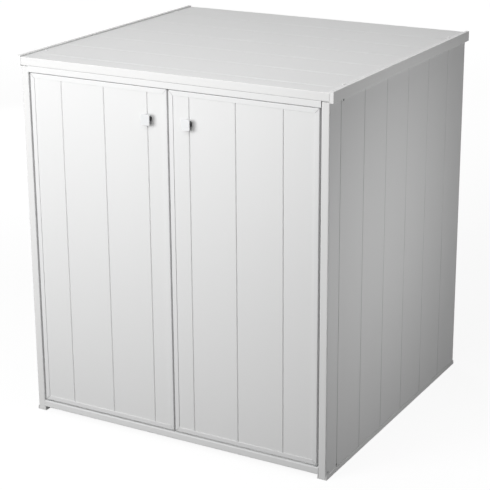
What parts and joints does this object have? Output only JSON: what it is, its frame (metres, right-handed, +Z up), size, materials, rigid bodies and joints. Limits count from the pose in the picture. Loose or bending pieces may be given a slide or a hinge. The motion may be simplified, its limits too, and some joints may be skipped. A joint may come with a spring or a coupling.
{
  "type": "washing machine cabinet",
  "caption": "Free-standing cabinet with grooved board sides and lid and a pair of outward-opening pivot doors, open at the back and floor, that encloses a washing machine.",
  "frame": {"origin": "on the floor, at the middle of the footprint box (knobs included)", "axes": "+Z up, -Y out of the doors, +X to the right of someone facing the doors"},
  "size_m": [0.86, 0.8144, 0.943],
  "materials": {
    "white_paint": "white paint on grooved boards, satin",
    "white_edging": "white edge strips and channels, satin",
    "white_profile": "white coated channel, satin",
    "chrome": "polished",
    "zinc_steel": "zinc plated",
    "blackened_steel": "blackened",
    "grey_nylon": "moulded nylon, matt"
  },
  "bodies": {
    "cabinet": {"front_bottom_rail": "white_paint", "front_top_rail": "white_paint", "left_bottom_channel": "white_edging", "left_bottom_rail_back_screw": "blackened_steel", "left_bottom_rail_front_screw": "blackened_steel", "left_front_lid_screw": "white_edging", "left_front_post": "white_edging", "left_lower_bush": "grey_nylon", "left_magnetic_catch": "grey_nylon", "left_rear_lid_screw": "white_edging", "left_rear_post": "white_edging", "left_side_panel": "white_paint", "left_top_rail_screw": "blackened_steel", "left_upper_bush": "grey_nylon", "lid_front_edge": "white_edging", "lid_left_edge": "white_edging", "lid_panel": "white_paint", "lid_rear_edge": "white_edging", "lid_right_edge": "white_edging", "rear_bottom_rail": "white_paint", "rear_top_rail": "white_paint", "right_bottom_channel": "white_edging", "right_bottom_rail_back_screw": "blackened_steel", "right_bottom_rail_front_screw": "blackened_steel", "right_front_lid_screw": "white_edging", "right_front_post": "white_edging", "right_lower_bush": "grey_nylon", "right_magnetic_catch": "grey_nylon", "right_rear_lid_screw": "white_edging", "right_rear_post": "white_edging", "right_side_panel": "white_paint", "right_top_rail_screw": "blackened_steel", "right_upper_bush": "grey_nylon"},
    "left_door": {"left_door_board_1": "white_paint", "left_door_board_2": "white_paint", "left_door_board_3": "white_paint", "left_door_board_4": "white_paint", "left_door_bottom_frame": "white_profile", "left_door_hinge_stile": "white_profile", "left_door_knob": "chrome", "left_door_knob_screw": "zinc_steel", "left_door_latch_stile": "white_profile", "left_door_lower_pivot": "grey_nylon", "left_door_strike_plate": "zinc_steel", "left_door_top_frame": "white_profile", "left_door_upper_pivot": "grey_nylon"},
    "right_door": {"right_door_board_1": "white_paint", "right_door_board_2": "white_paint", "right_door_board_3": "white_paint", "right_door_board_4": "white_paint", "right_door_bottom_frame": "white_profile", "right_door_hinge_stile": "white_profile", "right_door_knob": "chrome", "right_door_knob_screw": "zinc_steel", "right_door_latch_stile": "white_profile", "right_door_lower_pivot": "grey_nylon", "right_door_strike_plate": "zinc_steel", "right_door_top_frame": "white_profile", "right_door_upper_pivot": "grey_nylon"}
  },
  "joints": [
    {"name": "left_door_hinge", "type": "hinge", "parent": "cabinet", "child": "left_door", "pos_m": [-0.3884, -0.38435, 0.0328], "axis": [0, 0, -1], "range_deg": [0, 105]},
    {"name": "right_door_hinge", "type": "hinge", "parent": "cabinet", "child": "right_door", "pos_m": [0.3884, -0.38435, 0.0328], "axis": [0, 0, 1], "range_deg": [0, 105]}
  ]
}
